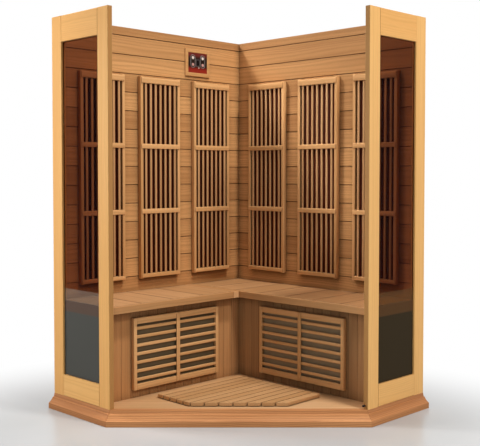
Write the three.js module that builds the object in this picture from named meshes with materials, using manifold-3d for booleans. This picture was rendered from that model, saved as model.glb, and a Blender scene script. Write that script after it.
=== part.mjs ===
// Corner infrared sauna cabin with a five-sided plan, open at the front and at the top.
// Millimetres, +Z up, the open front faces -Y, origin on the ground at the middle of the footprint.

import * as THREE from 'three';
import { mergeVertices } from 'three/addons/utils/BufferGeometryUtils.js';
import Module from 'manifold-3d';

const wasm = await Module();
wasm.setup();

// Plan and height of the walls
const REAR_WALL_LENGTH = 1282;
const SIDE_PANEL_LENGTH = 451;
const WALL_HEIGHT = 1830;

// Fit between pieces that touch, and the steps of a rounded edge
const SEAT_GAP = 0.3;
const EDGE_CURVE_STEPS = 2;

// Plinth and floor
const PLINTH_HEIGHT = 70;
const PLINTH_PROJECTION = 34;
const PLINTH_FASCIA_HEIGHT = 26;
const PLINTH_BAND_HEIGHT = 17;
const PLINTH_BAND_TAPER = 4;
const PLINTH_BAND_PROJECTION = 10;
const PLINTH_QUIRK_FALL = 1.5;
const PLINTH_LEDGE = 20;
const PLINTH_COVE_STEPS = 5;
const FLOOR_THICKNESS = 18;
const REAR_RAIL_WIDTH = 45;
const BEARER_WIDTH = 45;
const BEARER_COUNT = 2;

// Rear walls of tongue-and-groove boards
const LINING_THICKNESS = 12;
const BACK_PANEL_THICKNESS = 16;
const BOARD_COVER = 96.2;
const STARTER_BOARD_HEIGHT = 55;
const BOARD_GROOVE_WIDTH = 5;
const BOARD_GROOVE_DEPTH = 3.5;

// Side window panels
const SIDE_THICKNESS = 26;
const STILE_WIDTH = 80;
const TOP_RAIL_HEIGHT = 125;
const BOTTOM_RAIL_HEIGHT = 104;
const FRAME_ARRIS = 2;
const GLASS_THICKNESS = 5;
const GLASS_GROOVE_DEPTH = 10;
const GLASS_PLAY = 0.6;
const TENON_PLAY = 1;
const PEG_DIAMETER = 10;
const PEG_PROJECTION = 15;
const PEG_SOCKET_DEPTH = 15;
const PEG_HEIGHT = 17;
const PEG_FROM_OUTSIDE = 18;
const PEG_SEGMENTS = 16;

// Heater grilles on the rear walls
const GRILLES_PER_WALL = 3;
const GRILLE_WIDTH = 272;
const GRILLE_DEPTH = 30;
const GRILLE_STILE_WIDTH = 17;
const GRILLE_TOP_RAIL_HEIGHT = 35;
const GRILLE_BOTTOM_RAIL_HEIGHT = 24;
const GRILLE_END_RAIL_DEPTH = 28;
const GRILLE_MIDDLE_RAIL_HEIGHT = 25;
const GRILLE_MIDDLE_RAIL_DEPTH = 6;
const GRILLE_MIDDLE_RAILS = 2;
const GRILLE_RAIL_PROUD = 4;
const GRILLE_RAIL_INSET = 4;
const GRILLE_ABOVE_BENCH = 63;
const GRILLE_BELOW_WALL_TOP = 245;
const GRILLE_ARRIS = 2;
const SLAT_COUNT = 7;
const SLAT_WIDTH = 14;
const SLAT_DEPTH = 8;
const SLAT_ROUNDING = 4;
const SLAT_END_GAP = 12.5;
const SLAT_HOUSING = 2;
const SLAT_TENON = 6;
const HEATER_THICKNESS = 5;
const HEATER_MARGIN = 1;

// Benches
const BENCH_HEIGHT = 460;
const BENCH_FRONT_SETBACK = 27.7;
const BENCH_THICKNESS = 34;
const SEAT_BOARD_THICKNESS = 20;
const SEAT_BOARD_COVER = 180;
const SEAT_GROOVE_WIDTH = 6;
const SEAT_GROOVE_DEPTH = 3.5;
const SEAT_BATTEN_WIDTH = 60;
const FRONT_RAIL_DEPTH = 20;
const END_RAIL_WIDTH = 36;
const CLEAT_DEPTH = 30;
const CLEAT_HEIGHT = 40;
const BENCH_ARRIS = 2;

// Kick panels under the benches and their leg heater grilles
const BENCH_OVERHANG = 67;
const KICK_PANEL_THICKNESS = 14;
const KICK_BOARD_COVER = 55;
const KICK_GROOVE_WIDTH = 2.5;
const KICK_GROOVE_DEPTH = 1.5;
const LEG_GRILLE_MARGIN = 40;
const LEG_GRILLE_END_MARGIN = 172;
const LEG_GRILLE_DEPTH = 26;
const LEG_GRILLE_STILE_WIDTH = 19;
const LEG_GRILLE_RAIL_HEIGHT = 29;
const LEG_CENTRE_STILE_WIDTH = 21;
const LEG_CENTRE_STILE_DEPTH = 7;
const LEG_CENTRE_STILE_PROUD = 3;
const LEG_CENTRE_STILE_INSET = 3;
const LOUVRE_COUNT = 7;
const LOUVRE_HEIGHT = 16;
const LOUVRE_DEPTH = 9;
const LOUVRE_ROUNDING = 3;
const LOUVRE_END_GAP = 13;

// Control panel on the left rear wall
const CONTROL_FROM_CORNER = 330;
const CONTROL_ABOVE_GRILLE = 30;
const CONTROL_WIDTH = 180;
const CONTROL_HEIGHT = 150;
const CONTROL_DEPTH = 8;
const CONTROL_BORDER_SIDE = 20;
const CONTROL_BORDER_END = 20;
const CONTROL_FACE_THICKNESS = 4;
const CONTROL_FACE_STAND_OFF = 2.5;
const CONTROL_ARRIS = 1.5;
const BUTTON_DIAMETER = 16;
const BUTTON_CLEARANCE = 0.4;
const BUTTON_PROUD = 2.5;
const BUTTON_CROWN = 1.2;
const BUTTON_COLUMN_SPACING = 72;
const BUTTON_ROW_SPACING = 37;
const BUTTON_GROUP_RISE = 8.5;
const BUTTON_SEGMENTS = 20;
const BEZEL_RADIUS = 18;
const BEZEL_WIDTH = 3.5;
const BEZEL_HEIGHT = 1.2;
const BEZEL_CURVE_STEPS = 4;
const DISPLAY_WIDTH = 25;
const DISPLAY_HEIGHT = 36;
const DISPLAY_PROUD = 0.6;
const LENS_DIAMETER = 7;
const LENS_PROUD = 1.5;
const LENS_BELOW_CENTRE = 26;
const LENS_LEFT_OF_CENTRE = 8;

// Loose duckboard on the floor
const DUCKBOARD_REAR_GAP = 82;
const DUCKBOARD_SIDE_GAP = 267;
const DUCKBOARD_FRONT_GAP = 55;
const DUCKBOARD_PLANK_THICKNESS = 17;
const DUCKBOARD_BATTEN_THICKNESS = 3;
const DUCKBOARD_BATTEN_WIDTH = 40;
const DUCKBOARD_BATTEN_COUNT = 3;
const DUCKBOARD_BATTEN_SETBACK = 25;
const DUCKBOARD_BATTEN_HOUSING = 4;
const DUCKBOARD_PLANK_PITCH = 46;
const DUCKBOARD_PLANK_GAP = 7;

// Sizes that follow from the ones above
const REAR_THICKNESS = LINING_THICKNESS + SEAT_GAP + BACK_PANEL_THICKNESS;
const INNER_LENGTH = REAR_WALL_LENGTH - REAR_THICKNESS - SIDE_THICKNESS;
const DEPTH_OVERALL = (REAR_WALL_LENGTH + SIDE_PANEL_LENGTH) * Math.SQRT1_2 + PLINTH_PROJECTION;
const BASE_CLEAR_HEIGHT = PLINTH_HEIGHT - FLOOR_THICKNESS - SEAT_GAP;
const BENCH_DEPTH = SIDE_PANEL_LENGTH - REAR_THICKNESS - BENCH_FRONT_SETBACK;
const BENCH_UNDERSIDE = BENCH_HEIGHT - BENCH_THICKNESS;
const SEAT_DEPTH = BENCH_DEPTH - FRONT_RAIL_DEPTH - SEAT_GAP;
const KICK_FACE = BENCH_DEPTH - BENCH_OVERHANG;
const GRILLE_FOOT = BENCH_HEIGHT + GRILLE_ABOVE_BENCH;
const GRILLE_HEIGHT = WALL_HEIGHT - GRILLE_BELOW_WALL_TOP - GRILLE_FOOT;
const MITRE_SLOPE = Math.tan(Math.PI / 8);

// Finishes
const FINISHES = {
  frameWood: { color: 0xe6b06c, roughness: 0.45, metalness: 0 },
  wallWood: { color: 0xc48a58, roughness: 0.6, metalness: 0 },
  grilleWood: { color: 0xd79f66, roughness: 0.55, metalness: 0 },
  benchWood: { color: 0xc4915f, roughness: 0.55, metalness: 0 },
  kickWood: { color: 0xa97048, roughness: 0.6, metalness: 0 },
  floorWood: { color: 0xc99560, roughness: 0.5, metalness: 0 },
  plinthWood: { color: 0xb5754c, roughness: 0.5, metalness: 0 },
  tintedGlass: { color: 0x5a3420, roughness: 0.05, metalness: 0, transparent: true, opacity: 0.7 },
  heaterBlack: { color: 0x1c1814, roughness: 0.7, metalness: 0 },
  controlBlack: { color: 0x17120f, roughness: 0.4, metalness: 0 },
  bezelGrey: { color: 0x7a7672, roughness: 0.35, metalness: 0.2 },
  buttonWhite: { color: 0xe9d8cc, roughness: 0.4, metalness: 0 },
  pegBlack: { color: 0x1a1210, roughness: 0.6, metalness: 0 },
};

// Solids

function solidOf(geometry) {
  const bare = geometry.clone();
  bare.deleteAttribute('normal');
  bare.deleteAttribute('uv');
  const merged = mergeVertices(bare);
  const vertProperties = new Float32Array(merged.attributes.position.array);
  const triVerts = new Uint32Array(merged.index.array);
  return new wasm.Manifold(new wasm.Mesh({ numProp: 3, vertProperties, triVerts }));
}

function geometryOf(solid) {
  const mesh = solid.getMesh();
  const geometry = new THREE.BufferGeometry();
  geometry.setAttribute('position', new THREE.BufferAttribute(mesh.vertProperties, mesh.numProp));
  geometry.setIndex(new THREE.BufferAttribute(mesh.triVerts, 1));
  geometry.computeVertexNormals();
  return geometry;
}

function join(geometries) {
  const solids = geometries.map(solidOf);
  return geometryOf(solids.reduce((whole, next) => whole.add(next)));
}

function cut(geometry, tools) {
  const solids = tools.map(solidOf);
  return geometryOf(solids.reduce((whole, next) => whole.subtract(next), solidOf(geometry)));
}

function piece(name, geometry, finish) {
  const mesh = new THREE.Mesh(geometry, new THREE.MeshStandardMaterial(FINISHES[finish]));
  mesh.name = name;
  return mesh;
}

// Outlines and extrusions

function outline(points) {
  return new THREE.Shape(points.map(([across, up]) => new THREE.Vector2(across, up)));
}

function rectangle(width, height) {
  const halfWidth = width / 2;
  const halfHeight = height / 2;
  return outline([
    [-halfWidth, -halfHeight],
    [halfWidth, -halfHeight],
    [halfWidth, halfHeight],
    [-halfWidth, halfHeight],
  ]);
}

function circle(radius, x, y) {
  const path = new THREE.Path();
  path.absarc(x, y, radius, 0, 2 * Math.PI, true);
  return path;
}

function roundedRectangle(width, height, radius) {
  const shape = new THREE.Shape();
  const right = width / 2 - radius;
  const left = -right;
  const high = height / 2 - radius;
  const low = -high;
  shape.absarc(right, low, radius, -Math.PI / 2, 0);
  shape.absarc(right, high, radius, 0, Math.PI / 2);
  shape.absarc(left, high, radius, Math.PI / 2, Math.PI);
  shape.absarc(left, low, radius, Math.PI, 1.5 * Math.PI);
  return shape;
}

// Extrusion along Z with its end edges eased by a small chamfer
function extrude(shape, length, arris = 0, curveSegments = EDGE_CURVE_STEPS) {
  const settings = {
    depth: length - 2 * arris,
    bevelEnabled: arris > 0,
    bevelThickness: arris,
    bevelSize: arris,
    bevelOffset: -arris,
    bevelSegments: 1,
    curveSegments,
  };
  return new THREE.ExtrudeGeometry(shape, settings).translate(0, 0, arris);
}

// A section drawn in (y, z), run along X and centred on it
function alongX(shape, length, curveSegments) {
  const turn = new THREE.Matrix4().makeBasis(
    new THREE.Vector3(0, 1, 0),
    new THREE.Vector3(0, 0, 1),
    new THREE.Vector3(1, 0, 0),
  );
  return extrude(shape, length, 0, curveSegments).applyMatrix4(turn).translate(-length / 2, 0, 0);
}

// A face drawn in (x, z), run along Y from start
function alongY(shape, start, length, arris, curveSegments) {
  const geometry = extrude(shape, length, arris, curveSegments);
  return geometry.rotateX(Math.PI / 2).translate(0, start + length, 0);
}

// A bar given by its size and its lowest corner in Y and Z, centred on X
function bar(length, depth, height, y, z) {
  return new THREE.BoxGeometry(length, depth, height).translate(0, y + depth / 2, z + height / 2);
}

// Outline of boards side by side in (run, thickness), with a V groove at each board edge on the face
function groovedOutline(run, thickness, grooves, width, depth) {
  const points = [[0, 0], [0, thickness]];
  for (const at of grooves) {
    points.push([at - width / 2, thickness]);
    points.push([at, thickness - depth]);
    points.push([at + width / 2, thickness]);
  }
  points.push([run, thickness], [run, 0]);
  return points;
}

function evenGrooves(run, cover) {
  const count = Math.max(1, Math.round(run / cover));
  return Array.from({ length: count - 1 }, (_, index) => (run * (index + 1)) / count);
}

function wallGrooves(height) {
  const grooves = [];
  for (let at = STARTER_BOARD_HEIGHT; at < height - BOARD_GROOVE_WIDTH; at += BOARD_COVER) {
    grooves.push(at);
  }
  return grooves;
}

// Round bar with a chamfered crown, its axis along +Y from y = 0
function crownedPin(diameter, length, crown, segments) {
  const radius = diameter / 2;
  const profile = [
    new THREE.Vector2(0, 0),
    new THREE.Vector2(radius, 0),
    new THREE.Vector2(radius, length - crown),
    new THREE.Vector2(radius - crown, length),
    new THREE.Vector2(0, length),
  ];
  return new THREE.LatheGeometry(profile, segments);
}

// Plan of the cabin: five faces, each with its outward normal and its distance from the origin

const REAR_DISTANCE = (DEPTH_OVERALL / 2) * Math.SQRT1_2;
const SIDE_DISTANCE = REAR_WALL_LENGTH - REAR_DISTANCE;
const FRONT_DISTANCE = DEPTH_OVERALL / 2 - PLINTH_PROJECTION;
const FACES = {
  front: { normal: new THREE.Vector2(0, -1), distance: FRONT_DISTANCE },
  sideRight: { normal: new THREE.Vector2(1, -1).normalize(), distance: SIDE_DISTANCE },
  rearRight: { normal: new THREE.Vector2(1, 1).normalize(), distance: REAR_DISTANCE },
  rearLeft: { normal: new THREE.Vector2(-1, 1).normalize(), distance: REAR_DISTANCE },
  sideLeft: { normal: new THREE.Vector2(-1, -1).normalize(), distance: SIDE_DISTANCE },
};
const FACE_ORDER = Object.keys(FACES);

// Corners of the plan with the front, the sides and the rear faces moved inwards
function planCorners(frontInset, sideInset, rearInset) {
  const insets = {
    front: frontInset,
    sideRight: sideInset,
    rearRight: rearInset,
    rearLeft: rearInset,
    sideLeft: sideInset,
  };
  return FACE_ORDER.map((name, index) => {
    const nextName = FACE_ORDER[(index + 1) % FACE_ORDER.length];
    const a = FACES[name];
    const b = FACES[nextName];
    const reachA = a.distance - insets[name];
    const reachB = b.distance - insets[nextName];
    const turn = a.normal.cross(b.normal);
    const x = (reachA * b.normal.y - reachB * a.normal.y) / turn;
    const y = (reachB * a.normal.x - reachA * b.normal.x) / turn;
    return [x, y];
  });
}

const [FRONT_RIGHT, , , , FRONT_LEFT] = planCorners(0, 0, 0);
const FRONT_LENGTH = FRONT_RIGHT[0] - FRONT_LEFT[0];

// A group on one face of the plan: +X along the face, +Y into the room, origin moved in by inset
// and along the face by shift from the middle of its outside
function faceGroup(name, inset, shift = 0) {
  const corners = planCorners(0, 0, 0);
  const index = FACE_ORDER.indexOf(name);
  const [endX, endY] = corners[index];
  const [startX, startY] = corners[(index + corners.length - 1) % corners.length];
  const { normal } = FACES[name];
  const group = new THREE.Group();
  group.rotation.z = Math.atan2(normal.x, -normal.y);
  group.position.set(
    (startX + endX) / 2 - normal.x * inset - normal.y * shift,
    (startY + endY) / 2 - normal.y * inset + normal.x * shift,
    0,
  );
  return group;
}

// Base: plinth mouldings, rear rails, bearers and floor

function plinthProfile() {
  const shape = new THREE.Shape();
  const bandFoot = PLINTH_HEIGHT - PLINTH_BAND_HEIGHT;
  const coveBelly = PLINTH_BAND_PROJECTION + (PLINTH_PROJECTION - PLINTH_BAND_PROJECTION) / 3;
  const coveLow = PLINTH_FASCIA_HEIGHT + (bandFoot - PLINTH_FASCIA_HEIGHT) / 3;
  shape.moveTo(0, PLINTH_HEIGHT);
  shape.lineTo(-PLINTH_BAND_TAPER, bandFoot);
  shape.lineTo(-PLINTH_BAND_PROJECTION, bandFoot - PLINTH_QUIRK_FALL);
  shape.quadraticCurveTo(-coveBelly, coveLow, -PLINTH_PROJECTION, PLINTH_FASCIA_HEIGHT);
  shape.lineTo(-PLINTH_PROJECTION, 0);
  shape.lineTo(SIDE_THICKNESS + PLINTH_LEDGE, 0);
  shape.lineTo(SIDE_THICKNESS + PLINTH_LEDGE, BASE_CLEAR_HEIGHT);
  shape.lineTo(SIDE_THICKNESS, BASE_CLEAR_HEIGHT);
  shape.lineTo(SIDE_THICKNESS, PLINTH_HEIGHT);
  return shape;
}

// One moulding along a face: each mitred end leans with the distance from the face
function plinthMoulding(length, mitreStart, mitreEnd) {
  const geometry = alongX(plinthProfile(), length, PLINTH_COVE_STEPS);
  const position = geometry.attributes.position;
  for (let index = 0; index < position.count; index += 1) {
    const atEnd = position.getX(index) > 0;
    const mitred = atEnd ? mitreEnd : mitreStart;
    const reach = length / 2 - SEAT_GAP / 2 - (mitred ? position.getY(index) * MITRE_SLOPE : 0);
    position.setX(index, atEnd ? reach : -reach);
  }
  return geometry;
}

function halfWidthAt(y, sideInset, rearInset) {
  const toSide = (SIDE_DISTANCE - sideInset) * Math.SQRT2 + y;
  const toRear = (REAR_DISTANCE - rearInset) * Math.SQRT2 - y;
  return Math.min(toSide, toRear);
}

function floorBearer(index) {
  const sideInset = SIDE_THICKNESS + PLINTH_LEDGE + SEAT_GAP;
  const rearInset = REAR_RAIL_WIDTH + SEAT_GAP;
  const spacing = (DEPTH_OVERALL - PLINTH_PROJECTION) / (BEARER_COUNT + 2);
  const near = spacing * (index + 1) - FRONT_DISTANCE;
  const far = near + BEARER_WIDTH;
  const nearHalf = halfWidthAt(near, sideInset, rearInset);
  const farHalf = halfWidthAt(far, sideInset, rearInset);
  const shape = outline([[-nearHalf, near], [nearHalf, near], [farHalf, far], [-farHalf, far]]);
  return extrude(shape, BASE_CLEAR_HEIGHT);
}

function rearRail(length) {
  return bar(length, REAR_RAIL_WIDTH, BASE_CLEAR_HEIGHT, 0, 0);
}

function buildBase() {
  const base = new THREE.Group();

  const front = faceGroup('front', 0);
  front.add(piece('plinth_front', plinthMoulding(FRONT_LENGTH, true, true), 'plinthWood'));
  const left = faceGroup('sideLeft', 0);
  left.add(piece('plinth_left', plinthMoulding(SIDE_PANEL_LENGTH, false, true), 'plinthWood'));
  const right = faceGroup('sideRight', 0);
  right.add(piece('plinth_right', plinthMoulding(SIDE_PANEL_LENGTH, true, false), 'plinthWood'));

  const plinthReach = SIDE_THICKNESS + PLINTH_LEDGE + SEAT_GAP;
  const railLeftLength = REAR_WALL_LENGTH - plinthReach;
  const railLeft = faceGroup('rearLeft', 0, -plinthReach / 2);
  railLeft.add(piece('rear_rail_left', rearRail(railLeftLength), 'plinthWood'));
  const cornerReach = REAR_RAIL_WIDTH + SEAT_GAP;
  const railRightLength = railLeftLength - cornerReach;
  const railRight = faceGroup('rearRight', 0, (plinthReach - cornerReach) / 2);
  railRight.add(piece('rear_rail_right', rearRail(railRightLength), 'plinthWood'));

  base.add(front, left, right, railLeft, railRight);
  for (let index = 0; index < BEARER_COUNT; index += 1) {
    base.add(piece(`floor_bearer_${index + 1}`, floorBearer(index), 'plinthWood'));
  }

  const floorInset = SIDE_THICKNESS + SEAT_GAP;
  const floor = extrude(outline(planCorners(floorInset, floorInset, 0)), FLOOR_THICKNESS);
  floor.translate(0, 0, PLINTH_HEIGHT - FLOOR_THICKNESS);
  base.add(piece('floor_panel', floor, 'floorWood'));
  return base;
}

// Side window panels: stiles and rails grooved for the glass, stub tenons in the stile grooves

const GLASS_GROOVE_WIDTH = GLASS_THICKNESS + 2 * GLASS_PLAY;
const OPENING_WIDTH = SIDE_PANEL_LENGTH - 2 * STILE_WIDTH;
const PANEL_FOOT = SEAT_GAP;
const OPENING_FOOT = PANEL_FOOT + BOTTOM_RAIL_HEIGHT;
const OPENING_HEAD = WALL_HEIGHT - TOP_RAIL_HEIGHT;

// Section of a frame member with a groove in one edge and eased arrises, edge towards +first axis
function groovedMember(width) {
  const half = SIDE_THICKNESS / 2;
  const halfGroove = GLASS_GROOVE_WIDTH / 2;
  const grooveFloor = width - GLASS_GROOVE_DEPTH;
  return [
    [FRAME_ARRIS, -half],
    [width - FRAME_ARRIS, -half],
    [width, -half + FRAME_ARRIS],
    [width, -halfGroove],
    [grooveFloor, -halfGroove],
    [grooveFloor, halfGroove],
    [width, halfGroove],
    [width, half - FRAME_ARRIS],
    [width - FRAME_ARRIS, half],
    [FRAME_ARRIS, half],
    [0, half - FRAME_ARRIS],
    [0, -half + FRAME_ARRIS],
  ];
}

function windowStile() {
  return extrude(outline(groovedMember(STILE_WIDTH)), WALL_HEIGHT - PANEL_FOOT);
}

// Rail with its grooved edge up, standing on z = 0
function windowRail(height) {
  const section = groovedMember(height).map(([up, across]) => [across, up]);
  const body = alongX(outline(section), OPENING_WIDTH - 2 * SEAT_GAP);
  const tenonLength = OPENING_WIDTH + 2 * (GLASS_GROOVE_DEPTH - TENON_PLAY);
  const tenonThickness = GLASS_GROOVE_WIDTH - 2 * SEAT_GAP;
  const tenonHeight = height - GLASS_GROOVE_DEPTH - FRAME_ARRIS;
  const tenon = bar(tenonLength, tenonThickness, tenonHeight, -tenonThickness / 2, FRAME_ARRIS);
  return join([body, tenon]);
}

function windowGlass() {
  const hold = GLASS_GROOVE_DEPTH - TENON_PLAY;
  const height = OPENING_HEAD - OPENING_FOOT + 2 * hold;
  const width = OPENING_WIDTH + 2 * hold;
  return bar(width, GLASS_THICKNESS, height, -GLASS_THICKNESS / 2, OPENING_FOOT - hold);
}

// Blind socket for the peg in the outer edge of a stile
function pegSocket() {
  const radius = PEG_DIAMETER / 2 + SEAT_GAP;
  const depth = PEG_SOCKET_DEPTH + SEAT_GAP;
  const socket = new THREE.CylinderGeometry(radius, radius, 2 * depth, PEG_SEGMENTS);
  socket.rotateZ(Math.PI / 2);
  return socket.translate(0, PEG_FROM_OUTSIDE - SIDE_THICKNESS / 2, PEG_HEIGHT - PANEL_FOOT);
}

// Panel with y = 0 at mid thickness; frontwards is the sign of X towards the front of the cabin
function buildSidePanel(side, frontwards) {
  const panel = faceGroup(side === 'left' ? 'sideLeft' : 'sideRight', SIDE_THICKNESS / 2);

  for (const [place, end] of [['rear', -frontwards], ['front', frontwards]]) {
    const carriesPeg = side === 'right' && place === 'front';
    const geometry = carriesPeg ? cut(windowStile(), [pegSocket()]) : windowStile();
    const stile = piece(`side_${side}_${place}_stile`, geometry, 'frameWood');
    stile.position.set((end * SIDE_PANEL_LENGTH) / 2, 0, PANEL_FOOT);
    stile.rotation.z = end > 0 ? Math.PI : 0;
    panel.add(stile);
  }

  const bottomRail = piece(`side_${side}_bottom_rail`, windowRail(BOTTOM_RAIL_HEIGHT), 'frameWood');
  bottomRail.position.z = PANEL_FOOT;
  const topRail = piece(`side_${side}_top_rail`, windowRail(TOP_RAIL_HEIGHT), 'frameWood');
  topRail.rotation.y = Math.PI;
  topRail.position.z = WALL_HEIGHT;
  panel.add(bottomRail, topRail, piece(`side_${side}_glass`, windowGlass(), 'tintedGlass'));
  return panel;
}

// Dark peg in the front edge of the right window panel
function buildPeg() {
  const panel = faceGroup('sideRight', SIDE_THICKNESS / 2);
  const pin = crownedPin(PEG_DIAMETER, PEG_SOCKET_DEPTH + PEG_PROJECTION, FRAME_ARRIS, PEG_SEGMENTS);
  const peg = piece('locating_peg', pin.rotateZ(Math.PI / 2), 'pegBlack');
  peg.position.set(
    PEG_SOCKET_DEPTH - SIDE_PANEL_LENGTH / 2,
    PEG_FROM_OUTSIDE - SIDE_THICKNESS / 2,
    PEG_HEIGHT,
  );
  panel.add(peg);
  return panel;
}

// Rear walls: the left one runs through to the back corner, the right one butts against it

const WALLS = {
  left: { face: 'rearLeft', outwards: 1 },
  right: { face: 'rearRight', outwards: -1 },
};

// A group on the room side of a rear wall, +Y into the room, x = 0 at the middle of the inside
function wallGroup(side) {
  const { face, outwards } = WALLS[side];
  return faceGroup(face, REAR_THICKNESS, (outwards * (REAR_THICKNESS - SIDE_THICKNESS)) / 2);
}

// Puts a piece so that it spans from one distance to another, both from the inner back corner
function spanFromCorner(mesh, side, from, to) {
  mesh.position.x = WALLS[side].outwards * ((from + to) / 2 - INNER_LENGTH / 2);
  return mesh;
}

function boardWall(length, thickness, faceSign) {
  const height = WALL_HEIGHT - SEAT_GAP;
  const grooves = wallGrooves(height);
  const points = groovedOutline(height, thickness, grooves, BOARD_GROOVE_WIDTH, BOARD_GROOVE_DEPTH);
  const section = outline(points.map(([up, out]) => [faceSign * (out - thickness), up]));
  return alongX(section, length).translate(0, 0, SEAT_GAP);
}

function buildRearWall(side) {
  const wall = wallGroup(side);
  const from = side === 'left' ? -REAR_THICKNESS : SEAT_GAP;
  const to = INNER_LENGTH - SEAT_GAP;
  const liningBoards = boardWall(to - from, LINING_THICKNESS, 1);
  const backBoards = boardWall(to - from, BACK_PANEL_THICKNESS, -1);
  const lining = piece(`rear_${side}_lining`, liningBoards, 'wallWood');
  const back = piece(`rear_${side}_back_panel`, backBoards, 'wallWood');
  back.position.y = -REAR_THICKNESS;
  wall.add(spanFromCorner(lining, side, from, to), spanFromCorner(back, side, from, to));
  return wall;
}

// Wall heaters: a framed grille of rounded vertical slats over a dark heater panel

function framedOpening(width, height, stile, bottomRail, topRail) {
  const frame = rectangle(width, height);
  const halfWidth = width / 2 - stile;
  const low = bottomRail - height / 2;
  const high = height / 2 - topRail;
  const hole = new THREE.Path();
  hole.moveTo(-halfWidth, low);
  hole.lineTo(-halfWidth, high);
  hole.lineTo(halfWidth, high);
  hole.lineTo(halfWidth, low);
  hole.closePath();
  frame.holes.push(hole);
  return frame;
}

// A bar like the plain one, with the edges of its front and back faces eased
function easedBar(length, depth, height, y, z) {
  return alongY(rectangle(length, height), y, depth, GRILLE_ARRIS).translate(0, 0, z + height / 2);
}

// Section of a slat, flat at the back and rounded at its two front edges
function slatSection(width, depth, rounding) {
  const shape = new THREE.Shape();
  const half = width / 2;
  shape.moveTo(-half, 0);
  shape.lineTo(half, 0);
  shape.absarc(half - rounding, depth - rounding, rounding, 0, Math.PI / 2);
  shape.absarc(rounding - half, depth - rounding, rounding, Math.PI / 2, Math.PI);
  return shape;
}

const GRILLE_OPENING_WIDTH = GRILLE_WIDTH - 2 * GRILLE_STILE_WIDTH;
const GRILLE_OPENING_HEIGHT = GRILLE_HEIGHT - GRILLE_TOP_RAIL_HEIGHT - GRILLE_BOTTOM_RAIL_HEIGHT;

// Grille with its foot on z = 0 and its back on y = 0
function heaterGrille() {
  const stileDepth = GRILLE_DEPTH - GRILLE_RAIL_PROUD;
  const stileAt = (GRILLE_WIDTH - GRILLE_STILE_WIDTH) / 2;
  const members = [-stileAt, stileAt].map((x) =>
    easedBar(GRILLE_STILE_WIDTH, stileDepth, GRILLE_HEIGHT, 0, 0).translate(x, 0, 0),
  );

  const railLength = GRILLE_WIDTH - 2 * GRILLE_RAIL_INSET;
  const endRailBack = GRILLE_DEPTH - GRILLE_END_RAIL_DEPTH;
  const railBack = GRILLE_DEPTH - GRILLE_MIDDLE_RAIL_DEPTH;
  const bottomHeight = GRILLE_BOTTOM_RAIL_HEIGHT - GRILLE_RAIL_INSET;
  const topHeight = GRILLE_TOP_RAIL_HEIGHT - GRILLE_RAIL_INSET;
  const topFoot = GRILLE_HEIGHT - GRILLE_TOP_RAIL_HEIGHT;
  members.push(
    easedBar(railLength, GRILLE_END_RAIL_DEPTH, bottomHeight, endRailBack, GRILLE_RAIL_INSET),
    easedBar(railLength, GRILLE_END_RAIL_DEPTH, topHeight, endRailBack, topFoot),
  );
  const railFree = GRILLE_OPENING_HEIGHT - GRILLE_MIDDLE_RAILS * GRILLE_MIDDLE_RAIL_HEIGHT;
  const railGap = railFree / (GRILLE_MIDDLE_RAILS + 1);
  for (let index = 0; index < GRILLE_MIDDLE_RAILS; index += 1) {
    const foot = GRILLE_BOTTOM_RAIL_HEIGHT + railGap + index * (railGap + GRILLE_MIDDLE_RAIL_HEIGHT);
    const rail = easedBar(railLength, GRILLE_MIDDLE_RAIL_DEPTH, GRILLE_MIDDLE_RAIL_HEIGHT, railBack, foot);
    members.push(rail);
  }

  const slatBack = railBack + SLAT_HOUSING - SLAT_DEPTH;
  const slatLength = GRILLE_OPENING_HEIGHT + 2 * SLAT_TENON;
  const slatRun = GRILLE_OPENING_WIDTH - 2 * SLAT_END_GAP - SLAT_WIDTH;
  for (let index = 0; index < SLAT_COUNT; index += 1) {
    const x = slatRun * (index / (SLAT_COUNT - 1) - 1 / 2);
    const slat = extrude(slatSection(SLAT_WIDTH, SLAT_DEPTH, SLAT_ROUNDING), slatLength);
    members.push(slat.translate(x, slatBack, GRILLE_BOTTOM_RAIL_HEIGHT - SLAT_TENON));
  }
  return join(members);
}

function heaterPanel(width, height, foot) {
  const margin = 2 * HEATER_MARGIN;
  return bar(width - margin, HEATER_THICKNESS, height - margin, 0, foot + HEATER_MARGIN);
}

function buildWallHeaters(side) {
  const wall = wallGroup(side);
  const spacing = (INNER_LENGTH - GRILLES_PER_WALL * GRILLE_WIDTH) / (GRILLES_PER_WALL + 1);
  for (let index = 0; index < GRILLES_PER_WALL; index += 1) {
    const from = spacing + index * (spacing + GRILLE_WIDTH);
    const name = `${side}_${index + 1}`;
    const grille = piece(`heater_grille_${name}`, heaterGrille(), 'grilleWood');
    const panel = heaterPanel(GRILLE_OPENING_WIDTH, GRILLE_OPENING_HEIGHT, GRILLE_BOTTOM_RAIL_HEIGHT);
    const heater = piece(`heater_panel_${name}`, panel, 'heaterBlack');
    for (const mesh of [grille, heater]) {
      spanFromCorner(mesh, side, from, from + GRILLE_WIDTH);
      mesh.position.y = SEAT_GAP;
      mesh.position.z = GRILLE_FOOT;
      wall.add(mesh);
    }
  }
  return wall;
}

// Benches: the right one runs through to the left wall, the left one butts against its front

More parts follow.
